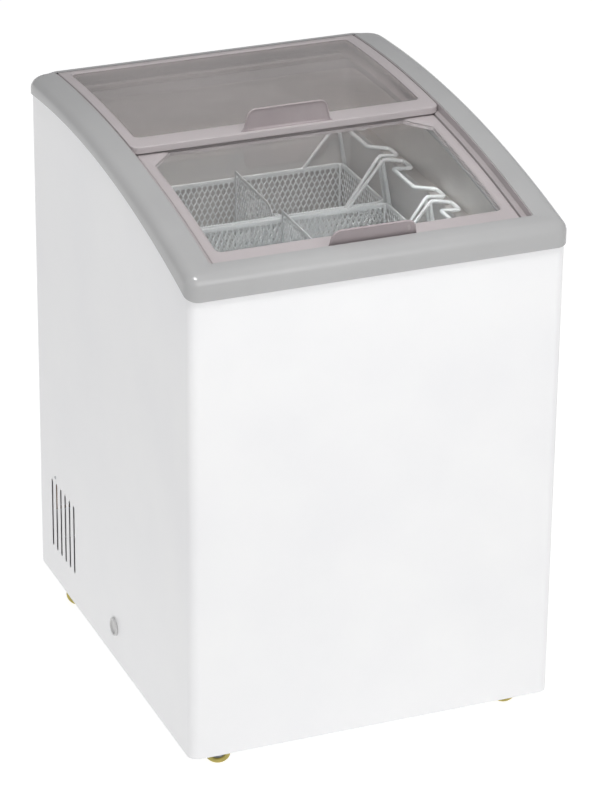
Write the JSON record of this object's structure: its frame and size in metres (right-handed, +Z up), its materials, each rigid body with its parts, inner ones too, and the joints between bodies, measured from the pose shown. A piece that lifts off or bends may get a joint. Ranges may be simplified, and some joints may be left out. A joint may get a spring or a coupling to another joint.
{
  "type": "ice cream freezer",
  "caption": "Chest freezer with a curved top: two sliding glass lids on stepped tracks, a moulded collar, hanging mesh baskets and swivel castors",
  "frame": {"origin": "on the floor, under the middle of the cabinet", "axes": "+X to the right seen from the front, -Y the front, +Z up"},
  "size_m": [0.5686, 0.6872, 0.8534],
  "materials": {
    "collar_plastic": "glossy moulded plastic, light grey",
    "cabinet_sheet": "white powder coat",
    "liner_sheet": "painted sheet, light grey",
    "track_plastic": "extruded plastic, grey",
    "lid_plastic": "moulded plastic, mauve grey",
    "lid_glass": "clear bent glass",
    "glider_nylon": "white nylon",
    "brush": "grey pile",
    "foam": "rigid foam",
    "zinc_sheet": "zinc-coated sheet",
    "compressor_shell": "black enamel",
    "rubber": "matte rubber",
    "black_plastic": "matte black",
    "copper_tube": "drawn copper",
    "coil_tube": "drawn aluminium",
    "drain_plastic": "white plastic",
    "basket_wire": "white-grey powder coat",
    "castor_metal": "zinc-plated steel",
    "castor_nylon": "yellowed nylon"
  },
  "bodies": {
    "cabinet": {"outer_wrap": "cabinet_sheet", "back_panel": "zinc_sheet", "base_pan": "zinc_sheet", "bay_shield": "zinc_sheet", "bay_cover": "cabinet_sheet", "collar_frame": "collar_plastic", "left_track": "track_plastic", "right_track": "track_plastic", "upper_liner": "liner_sheet", "tank_well": "liner_sheet", "foam_insulation": "foam", "evaporator_coil": "coil_tube", "condenser_coil": "coil_tube", "compressor": "compressor_shell", "compressor_grommets": "rubber", "relay_box": "black_plastic", "suction_line": "copper_tube", "discharge_line": "copper_tube", "filter_drier": "copper_tube", "capillary_tube": "copper_tube", "drain_pipe": "drain_plastic", "thermostat_body": "black_plastic", "cord_gland": "black_plastic", "castor_mounts": "castor_metal"},
    "rear_lid": {"rear_lid_frame": "lid_plastic", "rear_lid_glass": "lid_glass", "rear_lid_gliders": "glider_nylon", "rear_lid_brush": "brush"},
    "front_lid": {"front_lid_frame": "lid_plastic", "front_lid_glass": "lid_glass", "front_lid_gliders": "glider_nylon"},
    "rear_basket": {"rear_basket_frame": "basket_wire", "rear_basket_mesh": "basket_wire"},
    "middle_basket": {"middle_basket_frame": "basket_wire", "middle_basket_mesh": "basket_wire"},
    "front_basket": {"front_basket_frame": "basket_wire", "front_basket_mesh": "basket_wire"},
    "rear_divider": {"rear_basket_divider": "basket_wire"},
    "middle_divider": {"middle_basket_divider": "basket_wire"},
    "drain_plug": {"drain_plug": "drain_plastic"},
    "thermostat_knob": {"thermostat_knob": "black_plastic"},
    "front_left_castor": {"front_left_castor_fork": "castor_metal"},
    "front_left_wheel": {"front_left_castor_wheel": "castor_nylon"},
    "front_right_castor": {"front_right_castor_fork": "castor_metal"},
    "front_right_wheel": {"front_right_castor_wheel": "castor_nylon"},
    "rear_left_castor": {"rear_left_castor_fork": "castor_metal"},
    "rear_left_wheel": {"rear_left_castor_wheel": "castor_nylon"},
    "rear_right_castor": {"rear_right_castor_fork": "castor_metal"},
    "rear_right_wheel": {"rear_right_castor_wheel": "castor_nylon"}
  },
  "joints": [
    {"name": "rear_lid_slide", "type": "hinge", "parent": "cabinet", "child": "rear_lid", "pos_m": [0, 0.17, -1.268], "axis": [1, 0, 0], "range_deg": [0, 7.6]},
    {"name": "front_lid_slide", "type": "hinge", "parent": "cabinet", "child": "front_lid", "pos_m": [0, 0.17, -1.268], "axis": [1, 0, 0], "range_deg": [-7.6, 0]},
    {"name": "rear_basket_lift", "type": "slide", "parent": "cabinet", "child": "rear_basket", "axis": [0, 0, 1], "range_m": [0, 0.045]},
    {"name": "middle_basket_lift", "type": "slide", "parent": "cabinet", "child": "middle_basket", "axis": [0, 0, 1], "range_m": [0, 0.045]},
    {"name": "front_basket_lift", "type": "slide", "parent": "cabinet", "child": "front_basket", "axis": [0, 0, 1], "range_m": [0, 0.045]},
    {"name": "rear_divider_slide", "type": "slide", "parent": "rear_basket", "child": "rear_divider", "axis": [1, 0, 0], "range_m": [-0.15, 0.1]},
    {"name": "middle_divider_slide", "type": "slide", "parent": "middle_basket", "child": "middle_divider", "axis": [1, 0, 0], "range_m": [-0.155, 0.09]},
    {"name": "drain_plug_pull", "type": "slide", "parent": "cabinet", "child": "drain_plug", "axis": [-1, 0, 0], "range_m": [0, 0.03]},
    {"name": "thermostat_turn", "type": "hinge", "parent": "cabinet", "child": "thermostat_knob", "pos_m": [0.2, 0.33, 0.176], "axis": [0, 1, 0], "range_deg": [0, 270]},
    {"name": "front_left_castor_swivel", "type": "hinge", "parent": "cabinet", "child": "front_left_castor", "pos_m": [-0.242, -0.302, 0.04], "axis": [0, 0, 1], "continuous": true},
    {"name": "front_left_wheel_roll", "type": "hinge", "parent": "front_left_castor", "child": "front_left_wheel", "pos_m": [-0.2272, -0.30807, 0.019], "axis": [-0.3795, -0.9252, 0], "continuous": true},
    {"name": "front_right_castor_swivel", "type": "hinge", "parent": "cabinet", "child": "front_right_castor", "pos_m": [0.242, -0.302, 0.04], "axis": [0, 0, 1], "continuous": true},
    {"name": "front_right_wheel_roll", "type": "hinge", "parent": "front_right_castor", "child": "front_right_wheel", "pos_m": [0.2272, -0.29593, 0.019], "axis": [0.3795, 0.9252, 0], "continuous": true},
    {"name": "rear_left_castor_swivel", "type": "hinge", "parent": "cabinet", "child": "rear_left_castor", "pos_m": [-0.242, 0.205, 0.04], "axis": [0, 0, 1], "continuous": true},
    {"name": "rear_left_wheel_roll", "type": "hinge", "parent": "rear_left_castor", "child": "rear_left_wheel", "pos_m": [-0.2568, 0.21107, 0.019], "axis": [0.3795, 0.9252, 0], "continuous": true},
    {"name": "rear_right_castor_swivel", "type": "hinge", "parent": "cabinet", "child": "rear_right_castor", "pos_m": [0.242, 0.205, 0.04], "axis": [0, 0, 1], "continuous": true},
    {"name": "rear_right_wheel_roll", "type": "hinge", "parent": "rear_right_castor", "child": "rear_right_wheel", "pos_m": [0.2568, 0.19893, 0.019], "axis": [-0.3795, -0.9252, 0], "continuous": true}
  ]
}
